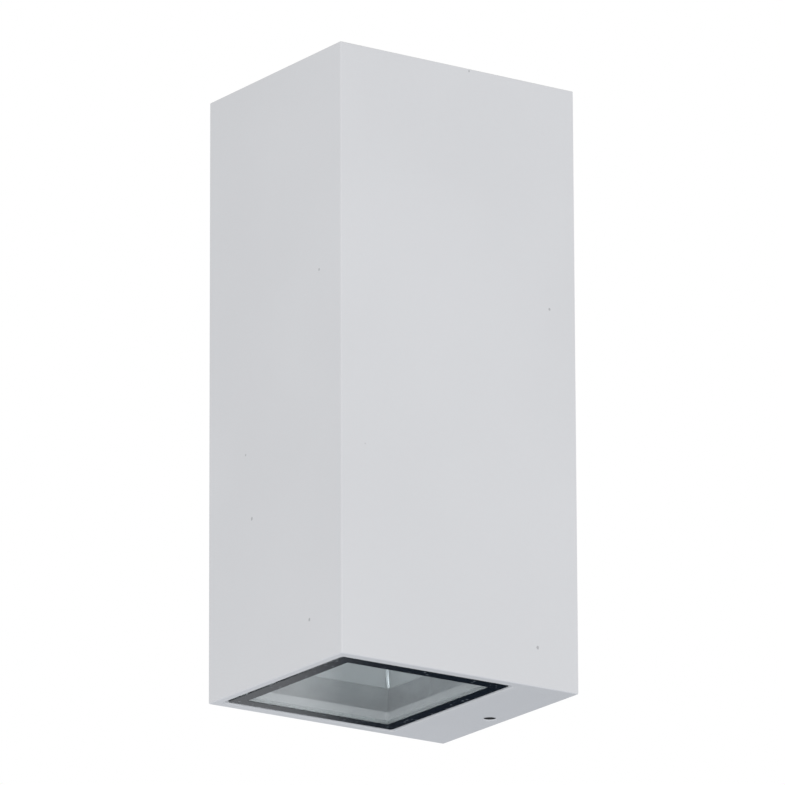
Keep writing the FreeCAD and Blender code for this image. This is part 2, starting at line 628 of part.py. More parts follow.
# ---- lampholder and lamp at the lower end ----
def sweep_sector(radius, half_width, z0, z1, side, from_deg, to_deg):
    """The space a round pin sweeps about the lamp's axis between two angles."""
    section = Part.Wire(
        Part.makePolygon(
            [
                V(radius - half_width, 0, z0),
                V(radius + half_width, 0, z0),
                V(radius + half_width, 0, z1),
                V(radius - half_width, 0, z1),
                V(radius - half_width, 0, z0),
            ]
        )
    )
    swept = Part.Face(section).revolve(V(0, 0, 0), V(0, 0, 1), to_deg - from_deg)
    ends = []
    for angle in (0, to_deg - from_deg):
        turn = math.radians(angle)
        foot = (radius * math.cos(turn), radius * math.sin(turn), z0)
        ends.append(rod(half_width, foot, (0, 0, 1), z1 - z0))
    swept = swept.fuse(ends)
    swept.rotate(V(0, 0, 0), V(0, 0, 1), from_deg + (0 if side > 0 else 180))
    swept.translate(V(0, LAMP_Y, 0))
    return swept


def lampholder():
    """A ceramic two-pin twist-and-lock holder: entry holes, arc slots and a chamber behind them."""
    x, y = HOLDER_LENGTH / 2, HOLDER_WIDTH / 2
    body = block(-x, x, LAMP_Y - y, LAMP_Y + y, HOLDER_FRONT, SHELF_FACE)
    body = body.makeFillet(y * 0.6, edges_along(body, V(0, 0, 1), lambda p: True))
    face_edges = [e for e in body.Edges if abs(e.CenterOfMass.z - HOLDER_FRONT) < 1e-6]
    body = body.makeFillet(1.0, face_edges)
    cuts = []
    ring = PIN_PITCH / 2
    for side in (-1, 1):
        head = PIN_HEAD_RADIUS + PIN_CLEARANCE
        neck = PIN_NECK_RADIUS + PIN_CLEARANCE
        cuts.append(sweep_sector(ring, neck, HOLDER_FRONT - 1, CHAMBER_Z + 0.1, side, 0, LAMP_TWIST))
        cuts.append(sweep_sector(ring, head, CHAMBER_Z, CHAMBER_TOP, side, 0, LAMP_TWIST))
        turn = math.radians(LAMP_TWIST + (0 if side > 0 else 180))
        entry = (ring * math.cos(turn), LAMP_Y + ring * math.sin(turn), HOLDER_FRONT - 1)
        cuts.append(rod(head, entry, (0, 0, 1), HOLDER_FACE + 1.1))
        wire_foot = (side * ring, LAMP_Y, CHAMBER_TOP - 0.1)
        cuts.append(rod(LEAD_RADIUS + SLIP, wire_foot, (0, 0, 1), HOLDER_HEIGHT))
        screw_at = SHELF_FACE - (HOLDER_HEIGHT / 2)
        cuts.append(screw_hole(side * HOLDER_SCREW_X, LAMP_Y, screw_at, (0, 0, 1), HOLDER_HEIGHT))
    return body.cut(cuts)


def holder_contacts():
    """The two brass contacts that meet the pin heads."""
    z0 = PIN_Z + PIN_HEAD + 0.3
    z1 = SHELF_FACE - LEAD_GRIP - SLIP
    return [rod(LEAD_RADIUS, (side * PIN_PITCH / 2, LAMP_Y, z0), (0, 0, 1), z1 - z0) for side in (-1, 1)]


def holder_screws():
    """The screws of both lampholders, put in from between the channel's shelves."""
    inside = SHELF_FACE + SHELF_SHEET
    length = SHELF_SHEET + HOLDER_HEIGHT * 0.4
    places = [side * HOLDER_SCREW_X for side in (-1, 1)]
    lower = [pan_screw((x, LAMP_Y, inside), (0, 0, -1), length) for x in places]
    return lower + [turned_over(screw) for screw in lower]


def lamp_body():
    """A two-pin spot lamp: a round base, a finned cone and a cup for the lens."""
    base = HOLDER_FRONT - 0.3
    step = base - LAMP_BASE_LENGTH
    rim = LAMP_FRONT + LAMP_RIM_LENGTH
    profile = [
        V(0, 0, base),
        V(LAMP_BASE_RADIUS, 0, base),
        V(LAMP_BASE_RADIUS, 0, step),
        V(LAMP_RADIUS, 0, rim),
        V(LAMP_RADIUS, 0, LAMP_FRONT),
        V(LAMP_CUP_RADIUS, 0, LAMP_FRONT),
        V(LAMP_CUP_RADIUS * 0.8, 0, LAMP_FRONT + LAMP_CUP_DEPTH),
        V(0, 0, LAMP_FRONT + LAMP_CUP_DEPTH),
        V(0, 0, base),
    ]
    body = Part.Face(Part.makePolygon(profile)).revolve(V(0, 0, 0), V(0, 0, 1), 360)
    slots = []
    for k in range(LAMP_FINS):
        cutter = block(LAMP_BASE_RADIUS + 1.0, LAMP_RADIUS + 1, -LAMP_FIN, LAMP_FIN, rim + 5.0, step + 0.1)
        cutter.rotate(V(0, 0, 0), V(0, 0, 1), 360 * (k + 0.5) / LAMP_FINS)
        slots.append(cutter)
    body = body.cut(slots).removeSplitter()
    body.translate(V(0, LAMP_Y, 0))
    return body


def lamp_pins():
    base = HOLDER_FRONT - 0.3
    pins = []
    for side in (-1, 1):
        x = side * PIN_PITCH / 2
        neck = rod(PIN_NECK_RADIUS, (x, LAMP_Y, base), (0, 0, 1), PIN_Z - base)
        head = rod(PIN_HEAD_RADIUS, (x, LAMP_Y, PIN_Z), (0, 0, 1), PIN_HEAD)
        rims = [e for e in head.Edges if e.Closed and abs(e.CenterOfMass.z - PIN_Z) > 1e-6]
        pins.append(neck.fuse(head.makeFillet(0.6, rims)).removeSplitter())
    return pins


def lamp_lens():
    disc = rod(lens_radius(), (0, LAMP_Y, LAMP_FRONT + 0.4), (0, 0, 1), LENS_THICKNESS)
    rim = [e for e in disc.Edges if e.Closed and abs(e.CenterOfMass.z - LAMP_FRONT - 0.4) < 1e-6]
    return disc.makeFillet(0.8, rim)


def lens_radius():
    """The lens clears the cup's tapering wall at its own inner face."""
    taper = LAMP_CUP_RADIUS * 0.2 / LAMP_CUP_DEPTH
    return LAMP_CUP_RADIUS - taper * (LENS_THICKNESS + 0.4) - SLIP


def lamp_board():
    z = LAMP_FRONT + LAMP_CUP_DEPTH - LED_BOARD
    return rod(LED_BOARD_RADIUS, (0, LAMP_Y, z), (0, 0, 1), LED_BOARD)


# ---- terminal block, earth screw and leads ----
def pole_x(pole):
    return (pole - (POLES - 1) / 2) * POLE_PITCH


def block_screw_x():
    return POLES * POLE_PITCH / 2 + BLOCK_EAR / 2


def clamp_screw_z():
    return (BLOCK_Z - BLOCK_LENGTH / 4, BLOCK_Z + BLOCK_LENGTH / 4)


def terminal_block():
    """A moulded block of three barrels with screw towers, on a foot with two ears."""
    half_x = POLES * POLE_PITCH / 2 + BLOCK_EAR
    web_z0 = BLOCK_Z - BLOCK_WEB / 2
    web_z1 = BLOCK_Z + BLOCK_WEB / 2
    base = block(-half_x, half_x, TRAY_BACK, TRAY_BACK + BLOCK_BASE, web_z0, web_z1)
    base = base.makeFillet(2.0, edges_along(base, V(0, 1, 0), lambda p: True))
    z0 = BLOCK_Z - BLOCK_LENGTH / 2
    solids = []
    cuts = []
    for x in (-block_screw_x(), block_screw_x()):
        cuts.append(screw_hole(x, TRAY_BACK - 1, BLOCK_Z, (0, 1, 0), BLOCK_BASE + 2))
    for pole in range(POLES):
        x = pole_x(pole)
        solids.append(rod(BLOCK_BARREL, (x, BARREL_Y, z0), (0, 0, 1), BLOCK_LENGTH))
        foot = (x - BLOCK_SADDLE / 2, x + BLOCK_SADDLE / 2)
        solids.append(block(*foot, TRAY_BACK, BARREL_Y, z0, z0 + BLOCK_LENGTH))
        cuts.append(rod(CLAMP_RADIUS + SLIP / 2, (x, BARREL_Y, z0 - 1), (0, 0, 1), BLOCK_LENGTH + 2))
        for z in clamp_screw_z():
            solids.append(rod(TOWER_RADIUS, (x, BARREL_Y, z), (0, 1, 0), TOWER_HEIGHT))
            cuts.append(rod(TERMINAL_SCREW_RADIUS + SLIP, (x, BARREL_Y, z), (0, 1, 0), TOWER_HEIGHT + 1))
    bridge = block(pole_x(0), pole_x(POLES - 1), TRAY_BACK, BARREL_Y, web_z0, web_z1)
    return base.fuse(solids + [bridge]).cut(cuts).removeSplitter()


def terminal_clamps():
    """The brass tubes that the wires are clamped in."""
    clamps = []
    for pole in range(POLES):
        x = pole_x(pole)
        tube = rod(CLAMP_RADIUS, (x, BARREL_Y, BLOCK_Z - CLAMP_LENGTH / 2), (0, 0, 1), CLAMP_LENGTH)
        cuts = [rod(CLAMP_BORE, (x, BARREL_Y, BLOCK_Z - CLAMP_LENGTH), (0, 0, 1), 2 * CLAMP_LENGTH)]
        for z in clamp_screw_z():
            cuts.append(rod(TERMINAL_SCREW_RADIUS + SLIP, (x, BARREL_Y, z), (0, 1, 0), TOWER_HEIGHT))
        clamps.append(tube.cut(cuts))
    return clamps


def terminal_screws():
    """Slotted clamp screws, two to a pole, their tips just clear of the leads."""
    tip = BARREL_Y + LEAD_OFFSET + LEAD_RADIUS + SLIP
    length = BARREL_Y + TOWER_HEIGHT - CLAMP_SCREW_SUNK - tip
    end = tip + length
    half_slot = CLAMP_SCREW_SLOT * 0.4
    screws = []
    for pole in range(POLES):
        for z in clamp_screw_z():
            screw = rod(TERMINAL_SCREW_RADIUS, (pole_x(pole), tip, z), (0, 1, 0), length)
            x = pole_x(pole)
            groove = block(x - 2, x + 2, end - CLAMP_SCREW_SLOT, end + 1, z - half_slot, z + half_slot)
            screws.append(screw.cut(groove))
    return screws


def block_screws():
    y = TRAY_BACK + BLOCK_BASE
    length = BLOCK_BASE + TRAY_SHEET + 2
    places = (-block_screw_x(), block_screw_x())
    return [pan_screw((x, y, BLOCK_Z), (0, -1, 0), length) for x in places]


def earth_tag():
    """A ring tag with a crimped barrel that points down."""
    y = TRAY_BACK + TAG_SHEET
    ring = rod(TAG_RADIUS, (EARTH_X, TRAY_BACK, EARTH_Z), (0, 1, 0), TAG_SHEET)
    stem_end = EARTH_Z - TAG_RADIUS - TAG_STEM
    half_stem = TAG_STEM / 2
    stem = block(EARTH_X - half_stem, EARTH_X + half_stem, TRAY_BACK, y, stem_end, EARTH_Z)
    foot = (EARTH_X, earth_lead_y(), tag_barrel_foot())
    barrel = rod(LEAD_RADIUS + TAG_BARREL_WALL, foot, (0, 0, 1), TAG_BARREL_LENGTH)
    below = (EARTH_X, earth_lead_y(), tag_barrel_foot() - 1)
    bore = rod(LEAD_RADIUS + SLIP / 2, below, (0, 0, 1), 1 + TAG_BARREL_LENGTH - TAG_BARREL_STOP)
    hole = screw_hole(EARTH_X, TRAY_BACK - 1, EARTH_Z, (0, 1, 0), TAG_SHEET + 2)
    return ring.fuse([stem, barrel]).cut([bore, hole]).removeSplitter()


def tag_barrel_foot():
    return EARTH_Z - TAG_RADIUS - TAG_STEM - TAG_BARREL_LENGTH + 1


def earth_lead_y():
    return TRAY_BACK + LEAD_RADIUS + TAG_BARREL_WALL


def earth_screw():
    """The earth screw, its head on the tag."""
    length = TAG_SHEET + TRAY_SHEET + NUT_HEIGHT + 1
    return pan_screw((EARTH_X, TRAY_BACK + TAG_SHEET, EARTH_Z), (0, -1, 0), length)


def earth_nut():
    """The earth screw's nut, on the tray's lamp side."""
    nut = hexagon(NUT_FLATS, (EARTH_X, TRAY_FRONT - NUT_HEIGHT, EARTH_Z), (0, 1, 0), NUT_HEIGHT)
    return nut.cut(screw_hole(EARTH_X, TRAY_FRONT - NUT_HEIGHT - 1, EARTH_Z, (0, 1, 0), NUT_HEIGHT + 2))


def lamp_lead(end, side, pole):
    """One wire from a holder's contact through the bush to a pole of the block."""
    drop = BARREL_Y + end * LEAD_OFFSET
    x = side * PIN_PITCH / 2
    bush_x = side * LEAD_SPREAD
    level = end * LEAD_SPREAD
    grip = SHELF_FACE - LEAD_GRIP
    return lead(
        [
            (x, LAMP_Y, -end * grip),
            (x, LAMP_Y, level),
            (bush_x, TRAY_FRONT - 3 * LEAD_BEND, level),
            (bush_x, drop, level),
            (pole_x(pole), drop, (level + BLOCK_TOP) * 0.6),
            (pole_x(pole), drop, BLOCK_TOP - LEAD_GRIP),
        ]
    )


def earth_lead():
    """The green and yellow lead from the tag to the last pole."""
    y = earth_lead_y()
    top = tag_barrel_foot() + TAG_BARREL_LENGTH - TAG_BARREL_STOP - 0.5
    x = pole_x(POLES - 1)
    return lead(
        [
            (EARTH_X, y, top),
            (EARTH_X, y, top - EARTH_STRAIGHT),
            (x, BARREL_Y, BLOCK_TOP + EARTH_DROP),
            (x, BARREL_Y, BLOCK_TOP - LEAD_GRIP),
        ]
    )


# ---- output ----
def write(name, shape):
    if isinstance(shape, list):
        shape = Part.makeCompound(shape)
    if not shape.isValid():
        print("not valid:", name)
    shape.exportStep("parts/" + name + ".step")


def both_ends(name, shape):
    """A piece of the lower end and the same piece turned over for the upper end."""
    parts = shape if isinstance(shape, list) else [shape]
    write("lower_" + name, shape)
    write("upper_" + name, [turned_over(part) for part in parts] if len(parts) > 1 else turned_over(parts[0]))


def main():
    os.makedirs("parts", exist_ok=True)
    write("housing", housing())
    write("rear_seal", rear_seal())
    write("wall_bracket", wall_bracket())
    write("cable_grommet", cable_grommet())
    both_ends("set_screw", set_screw())
    both_ends("glass", glass_pane())
    both_ends("glass_border", glass_border())
    both_ends("glass_gasket", glass_gasket())
    both_ends("reflector", reflector())
    both_ends("lampholder", lampholder())
    both_ends("holder_contacts", holder_contacts())
    both_ends("lamp_body", lamp_body())
    both_ends("lamp_pins", lamp_pins())
    both_ends("lamp_lens", lamp_lens())
    both_ends("lamp_board", lamp_board())
    write("gear_tray", gear_tray())
    write("tray_screws", tray_screws())
    write("tray_bush", tray_bush())
    write("holder_bracket", holder_bracket())
    write("holder_bracket_screws", holder_bracket_screws())
    write("holder_bracket_nuts", holder_bracket_nuts())
    write("holder_screws", holder_screws())
    write("reflector_screws", reflector_screws())
    write("terminal_block", terminal_block())
    write("terminal_clamps", terminal_clamps())
    write("terminal_screws", terminal_screws())
    write("block_screws", block_screws())
    write("earth_tag", earth_tag())
    write("earth_screw", earth_screw())
    write("earth_nut", earth_nut())
    write("earth_lead", earth_lead())
    write("lower_live_lead", lamp_lead(-1, 1, 1))
    write("lower_neutral_lead", lamp_lead(-1, -1, 0))
    write("upper_live_lead", lamp_lead(1, 1, 1))
    write("upper_neutral_lead", lamp_lead(1, -1, 0))


main()
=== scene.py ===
import math

import bpy
from mathutils import Matrix, Vector


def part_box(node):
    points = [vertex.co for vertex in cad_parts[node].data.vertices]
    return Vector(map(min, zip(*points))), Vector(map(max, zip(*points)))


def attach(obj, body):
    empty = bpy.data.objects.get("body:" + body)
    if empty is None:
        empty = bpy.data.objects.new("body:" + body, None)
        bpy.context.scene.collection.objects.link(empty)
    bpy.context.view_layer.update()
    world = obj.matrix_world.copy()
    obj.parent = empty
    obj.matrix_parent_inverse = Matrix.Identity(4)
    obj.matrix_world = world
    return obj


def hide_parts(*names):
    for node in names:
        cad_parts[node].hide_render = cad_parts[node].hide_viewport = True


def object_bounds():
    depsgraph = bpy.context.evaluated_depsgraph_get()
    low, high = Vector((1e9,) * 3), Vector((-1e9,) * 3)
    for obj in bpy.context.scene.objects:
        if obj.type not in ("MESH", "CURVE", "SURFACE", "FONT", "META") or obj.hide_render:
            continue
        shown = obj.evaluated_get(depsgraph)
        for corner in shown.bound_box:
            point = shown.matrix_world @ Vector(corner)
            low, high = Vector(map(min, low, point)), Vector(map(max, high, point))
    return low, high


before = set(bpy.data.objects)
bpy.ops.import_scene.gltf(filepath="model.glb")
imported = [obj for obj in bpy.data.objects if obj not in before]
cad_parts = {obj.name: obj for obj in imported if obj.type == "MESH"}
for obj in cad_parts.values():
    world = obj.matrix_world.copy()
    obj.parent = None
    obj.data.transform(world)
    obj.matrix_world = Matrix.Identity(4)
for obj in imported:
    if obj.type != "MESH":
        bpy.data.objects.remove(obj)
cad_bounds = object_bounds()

bl_info = {
    "name": "Box Wall Lantern",
    "version": (1, 0, 0),
    "blender": (4, 5, 0),
    "location": "View3D > Sidebar > Lantern",
    "description": "Finishes, optics and a plain stage for an up-and-down wall lantern",
    "category": "Object",
}

MM = 0.001
GLASS_IOR = 1.52
ENDS = ("lower", "upper")

# where paint ends on the casting, and where shade is painted into the set-screw holes
CASTING_RIM = 2.2 * MM
PAINTED_BACK = 7.0 * MM
LEDGE_TOP = 7.6 * MM
SPRAY_REACH = 4.0 * MM
SPRAY_AT_ENDS = 0.45  # share of the reach at the ledges
# painted shade in the set-screw holes: how far past the hole's wall it spreads onto the chamfer,
# and how far below the outer face it starts
HOLE_SHADE_SPREAD = 0.4 * MM
FLARE_DEPTH = 0.3 * MM

# lamp lenses, chips and reflector tabs
SMOOTH_ANGLE = math.radians(35.0)
BEVEL_SEGMENTS = 3
LENS_SIDES = 128
LENS_EDGE = 0.35 * MM
DOME_SEGMENTS = 32
DOME_RINGS = 16
CHIP_COUNT = 7
CHIP_FRAME = 0.12  # share of the chip's side
CHIP_SINK = 0.3  # share of the chip's height
LEVEL_TOLERANCE = 1e-6
REFLECTOR_SHEET = 0.8 * MM
TAB_CLEARANCE = 1.3 * MM
TAB_SHEET = 0.3 * MM
TAB_EDGE = 0.08 * MM

# stage
SENSOR_WIDTH = 36.0
FAR_CLIP = 200.0
AIM_SHIFT = Vector((0.4, 0.0, 1.0)) * MM
FLOOR_SIZE = 40.0
KEY_PLACE = Vector((2.4, -0.45, 0.5))
KEY_SIZE = 1.6
KEY_POWER = 5.2
BOUNCE_PLACE = Vector((1.1, -0.8, -1.1))
BOUNCE_SIZE = 1.1
BOUNCE_POWER = 7.0


# ---- settings that a user would change ----
def colour_property(label, about, value):
    return bpy.props.FloatVectorProperty(
        name=label, description=about, default=value, size=3, min=0.0, max=1.0, subtype="COLOR"
    )


def length_property(label, about, value):
    return bpy.props.FloatProperty(
        name=label,
        description=about,
        default=value,
        min=0.0,
        unit="LENGTH",
        subtype="DISTANCE",
        precision=5,
    )


def factor_property(label, about, value):
    return bpy.props.FloatProperty(
        name=label, description=about, default=value, min=0.0, max=1.0, subtype="FACTOR"
    )


class LanternFinishSettings(bpy.types.PropertyGroup):
    paint: colour_property("Paint", "Powder coat on the casting", (0.572, 0.574, 0.587))
    paint_gloss: factor_property("Paint roughness", "Roughness of the powder coat", 0.42)
    bare_metal: colour_property(
        "Bare casting", "Unpainted metal inside the casting", (0.40, 0.44, 0.455)
    )
    peel_size: length_property("Orange peel", "Size of the ripple in the powder coat", 0.0012)
    enamel: colour_property("Enamel", "Fired border of the glass", (0.006, 0.009, 0.013))
    glass_tint: colour_property("Glass tint", "What the glass lets through", (0.965, 0.985, 0.98))
    zinc: colour_property("Zinc", "Galvanised sheet", (0.56, 0.58, 0.6))
    aluminium: colour_property("Reflector", "Satin aluminium sheet", (0.87, 0.91, 0.93))
    brass: colour_property("Brass", "Terminals and earth parts", (0.78, 0.6, 0.3))
    steel: colour_property("Screw steel", "Stainless screws", (0.52, 0.52, 0.53))


class LanternOpticSettings(bpy.types.PropertyGroup):
    dome_radius: length_property("Dome radius", "Radius of each dome on the lamp's lens", 0.0046)
    dome_height: length_property("Dome height", "How far a dome stands out", 0.0009)
    chip_side: length_property("Chip side", "Side of one light-emitting chip", 0.0035)
    chip_height: length_property("Chip height", "How far a chip stands off its board", 0.0007)
    ring_gap: length_property("Ring gap", "From one ring of domes to the next", 0.0088)
    tab_width: length_property("Tab width", "Width of the tab at the reflector's seam", 0.0013)
    tab_length: length_property("Tab length", "Length of the tab at the reflector's seam", 0.0095)
    tab_lean: bpy.props.FloatProperty(
        name="Tab lean",
        description="How far the tab leans inwards",
        default=math.radians(20.0),
        subtype="ANGLE",
    )


class LanternStageSettings(bpy.types.PropertyGroup):
    azimuth: bpy.props.FloatProperty(
        name="Azimuth",
        description="Where the camera stands",
        default=math.radians(55.4975),
        subtype="ANGLE",
    )
    elevation: bpy.props.FloatProperty(
        name="Elevation",
        description="Negative looks up",
        default=math.radians(-16.698),
        subtype="ANGLE",
    )
    roll: bpy.props.FloatProperty(
        name="Roll",
        description="Camera turned about its axis",
        default=math.radians(0.2),
        subtype="ANGLE",
    )
    distance: length_property("Distance", "From the camera to the lantern", 3.567)
    lens: bpy.props.FloatProperty(
        name="Lens", description="Focal length", default=428.37, min=1.0, unit="CAMERA"
    )
    card_size: length_property("Card size", "Side of the card that the window mirrors", 1.6)
    card_reach: length_property("Card reach", "From the window to the card", 0.6)
    card_fade: length_property("Card fade", "Width of the change from grey to dark", 0.03)
    card_step: bpy.props.FloatProperty(
        name="Card step",
        description="Where the card turns dark, from its middle",
        default=-0.03,
        unit="LENGTH",
    )
    card_light: colour_property("Card light", "The card's left part", (0.5, 0.51, 0.53))
    card_dark: colour_property("Card dark", "The card's right part", (0.004, 0.008, 0.016))
    floor_drop: length_property("Floor drop", "How far the floor lies below the lantern", 3.8)
    floor_colour: colour_property("Floor", "Pale floor", (0.86, 0.895, 0.94))


# ---- shader arithmetic ----
class Wire:
    """A node's output that takes part in arithmetic."""

    def __init__(self, recipe, socket):
        self.recipe = recipe
        self.socket = socket

    def __add__(self, other):
        return self.recipe.reckon("ADD", self, other)

    def __radd__(self, other):
        return self.recipe.reckon("ADD", other, self)

    def __sub__(self, other):
        return self.recipe.reckon("SUBTRACT", self, other)

    def __rsub__(self, other):
        return self.recipe.reckon("SUBTRACT", other, self)

    def __mul__(self, other):
        return self.recipe.reckon("MULTIPLY", self, other)

    def __rmul__(self, other):
        return self.recipe.reckon("MULTIPLY", other, self)

    def __gt__(self, other):
        return self.recipe.reckon("GREATER_THAN", self, other)

    def __lt__(self, other):
        return self.recipe.reckon("LESS_THAN", self, other)

    def size(self):
        return self.recipe.reckon("ABSOLUTE", self)

    def between(self, low, high):
        """0 at low, 1 at high and a smooth rise from one to the other."""
        return self.recipe.node(
            "ShaderNodeMapRange",
            {"interpolation_type": "SMOOTHSTEP"},
            {"Value": self, "From Min": low, "From Max": high},
        )


class Recipe:
    """One material and the nodes that make it."""

    def __init__(self, name):
        self.material = bpy.data.materials.new(name)
        self.material.use_nodes = True
        self.nodes = self.material.node_tree.nodes
        self.links = self.material.node_tree.links
        self.nodes.clear()

    def node(self, kind, settings=None, values=None, output=0):
        """A node with its settings made first and its sockets then set or linked."""
        made = self.nodes.new(kind)
        for name, value in (settings or {}).items():
            setattr(made, name, value)
        for name, value in (values or {}).items():
            if isinstance(value, Wire):
                self.links.new(value.socket, made.inputs[name])
            else:
                made.inputs[name].default_value = value
        return Wire(self, made.outputs[output])

    def reckon(self, operation, first, second=0.0):
        return self.node("ShaderNodeMath", {"operation": operation}, {0: first, 1: second})

    def place(self):
        """Where a point lies, in the object's own metres."""
        return self.node("ShaderNodeTexCoord", output="Object")

    def axes(self):
        split = self.node("ShaderNodeSeparateXYZ", {}, {0: self.place()})
        sockets = split.socket.node.outputs
        return [Wire(self, socket) for socket in sockets]

    def stretched(self, scale):
        return self.node("ShaderNodeMapping", {}, {"Vector": self.place(), "Scale": scale})

    def noise(self, scale, detail=2.0, rough=0.5, along=None):
        spot = along or self.place()
        values = {"Vector": spot, "Scale": scale, "Detail": detail, "Roughness": rough}
        return self.node("ShaderNodeTexNoise", {}, values)

    def mix(self, factor, first, second):
        """Colours only."""
        first = first if isinstance(first, Wire) else (*first, 1.0)
        second = second if isinstance(second, Wire) else (*second, 1.0)
        return self.node(
            "ShaderNodeMix", {"data_type": "RGBA"}, {0: factor, 6: first, 7: second}, output=2
        )

    def bump(self, height, distance, strength):
        values = {"Height": height, "Distance": distance, "Strength": strength}
        return self.node("ShaderNodeBump", {}, values, output="Normal")

    def principled(self, **values):
        """A surface whose sockets are named in words joined by underscores."""
        named = {
            key.replace("_", " ").title().replace("Ior", "IOR"): value
            for key, value in values.items()
        }
        if not isinstance(named["Base Color"], Wire):
            named["Base Color"] = (*named["Base Color"], 1.0)
        return self.node("ShaderNodeBsdfPrincipled", {}, named)

    def finish(self, surface):
        output = self.nodes.new("ShaderNodeOutputMaterial")
        self.links.new(surface.socket, output.inputs["Surface"])
        return self.material


def scaled(colour, share):
    """The colour made darker or lighter, and no channel past 1."""
    return tuple(min(1.0, share * channel) for channel in colour)


# ---- finishes ----
def give(material, *names):
    """The material in every slot of these CAD nodes."""
    for name in names:
        for material_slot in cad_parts[name].material_slots:
            material_slot.material = material


def both(name):
    return [f"{end}_{name}" for end in ENDS]


def inside_mask(recipe):
    """1 on the casting's bare inner walls, with a ragged edge where spray reached in."""
    low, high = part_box("housing")
    x, y, z = recipe.axes()
    ragged = (recipe.noise(700.0, 3.0, 0.65) - 0.5) * SPRAY_REACH
    past_sides = x.size() < (high[0] - CASTING_RIM)
    past_front = y > (low[1] + CASTING_RIM)
    past_back = (y + ragged) < (high[1] - PAINTED_BACK)
    in_ends = (z.size() + ragged * SPRAY_AT_ENDS) < (high[2] - LEDGE_TOP)
    return past_sides * past_front * past_back * in_ends


def paint_material(finish):
    recipe = Recipe("housing_powder_coat")
    cloud = recipe.noise(9.0, 3.0).between(0.3, 0.7)
    light = tuple(finish.paint)
    coat = recipe.mix(cloud, scaled(light, 0.965), light)
    coat = recipe.mix(nick_mask(recipe) * 0.42, coat, (0.09, 0.09, 0.095))
    level = recipe.stretched((30.0, 30.0, 260.0))
    rubs = recipe.noise(1.0, 4.0, 0.7, level).between(0.74, 0.86)
    coat = recipe.mix(rubs * 0.12, coat, (0.35, 0.35, 0.36))
    bare = inside_mask(recipe)
    metal = tuple(finish.bare_metal)
    cast = recipe.mix(recipe.noise(160.0, 4.0, 0.6), scaled(metal, 0.8), scaled(metal, 1.15))
    # painted shade: the set-screw holes and the inner part of their chamfers are coloured
    # near-black to stand in for the shade inside them
    painted_hole_shade = hole_shade_mask(recipe)
    base = recipe.mix(painted_hole_shade, recipe.mix(bare, coat, cast), (0.012, 0.012, 0.014))
    gloss = recipe.noise(260.0, 2.0) * 0.1 + (finish.paint_gloss - 0.05)
    rough = gloss + bare * 0.1 + rubs * 0.1 + painted_hole_shade * 0.2
    peel = recipe.noise(1.0 / finish.peel_size, 2.0, 0.55)
    grain = recipe.noise(2600.0, 2.0, 0.6)
    height = peel * (1 - bare) + grain * (bare * 1.6 + 0.12)
    normal = recipe.bump(height, 0.00006, 0.55)
    return recipe.finish(
        recipe.principled(base_color=base, roughness=rough, metallic=bare * 0.25, normal=normal)
    )


def hole_shade_mask(recipe):
    """1 where shade is painted near-black into the two set-screw holes, their walls and the inner
    part of their chamfers.
    """
    low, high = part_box("lower_set_screw")
    side, depth = ((low[axis] + high[axis]) / 2 for axis in (0, 1))
    edge = (high[0] - low[0]) / 2 + HOLE_SHADE_SPREAD
    x, y, z = recipe.axes()
    lower = z < 0.0
    across = (x - side) * lower + (x + side) * (1 - lower)
    along = y - depth
    near = (across * across + along * along) < edge * edge
    return near * (z.size() < (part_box("housing")[1][2] - FLARE_DEPTH))


def nick_mask(recipe):
    """Small chips, a few to each face, from flat cells on the faces that stand upright."""
    least, spread, whole_cells = 0.008, 0.014, 0.62
    x, y, z = recipe.axes()
    on_face = recipe.node("ShaderNodeCombineXYZ", {}, {0: x + y, 1: z * 0.8})
    wobble = recipe.noise(1500.0) * 0.012
    cells = recipe.node(
        "ShaderNodeTexVoronoi",
        {"voronoi_dimensions": "2D"},
        {"Vector": on_face, "Scale": 26.0},
        output="Distance",
    )
    shades = Wire(recipe, cells.socket.node.outputs["Color"])
    red = recipe.node("ShaderNodeSeparateColor", {}, {"Color": shades})
    green = Wire(recipe, red.socket.node.outputs["Green"])
    return (cells + wobble) < ((red > whole_cells) * (green * spread + least))


def speck_mask(recipe, density, radius):
    """Tiny round marks, few and of different sizes."""
    cells = recipe.node(
        "ShaderNodeTexVoronoi", {}, {"Vector": recipe.place(), "Scale": density}, output="Distance"
    )
    shades = Wire(recipe, cells.socket.node.outputs["Color"])
    chosen = recipe.node("ShaderNodeSeparateColor", {}, {"Color": shades})
    return cells < (chosen * radius * 1.4)


def glass_material(finish):
    """Clear pane with faint smears; shadow and soft light pass it straight."""
    recipe = Recipe("toughened_glass")
    tint = tuple(finish.glass_tint)
    smears = recipe.noise(60.0, 3.0, 0.6).between(0.55, 0.8)
    pane = recipe.principled(
        base_color=tint, roughness=smears * 0.02, ior=GLASS_IOR, transmission_weight=1.0
    )
    open_way = recipe.node("ShaderNodeBsdfTransparent", {}, {"Color": (*tint, 1.0)})
    rays = recipe.node("ShaderNodeLightPath", output="Is Shadow Ray")
    soft = Wire(recipe, rays.socket.node.outputs["Is Diffuse Ray"])
    either = recipe.reckon("MAXIMUM", rays, soft)
    return recipe.finish(recipe.node("ShaderNodeMixShader", {}, {0: either, 1: pane, 2: open_way}))


def enamel_material(finish):
    """Fired black border with a little dust on it."""
    recipe = Recipe("black_enamel")
    mottle = recipe.noise(900.0, 3.0, 0.6)
    ink = tuple(finish.enamel)
    base = recipe.mix(mottle, ink, scaled(ink, 1.5))
    dust = speck_mask(recipe, 420.0, 0.18)
    base = recipe.mix(dust * 0.5, base, (0.22, 0.24, 0.26))
    normal = recipe.bump(mottle, 0.00001, 0.4)
    rough = mottle * 0.1 + 0.16
    return recipe.finish(recipe.principled(base_color=base, roughness=rough, normal=normal))


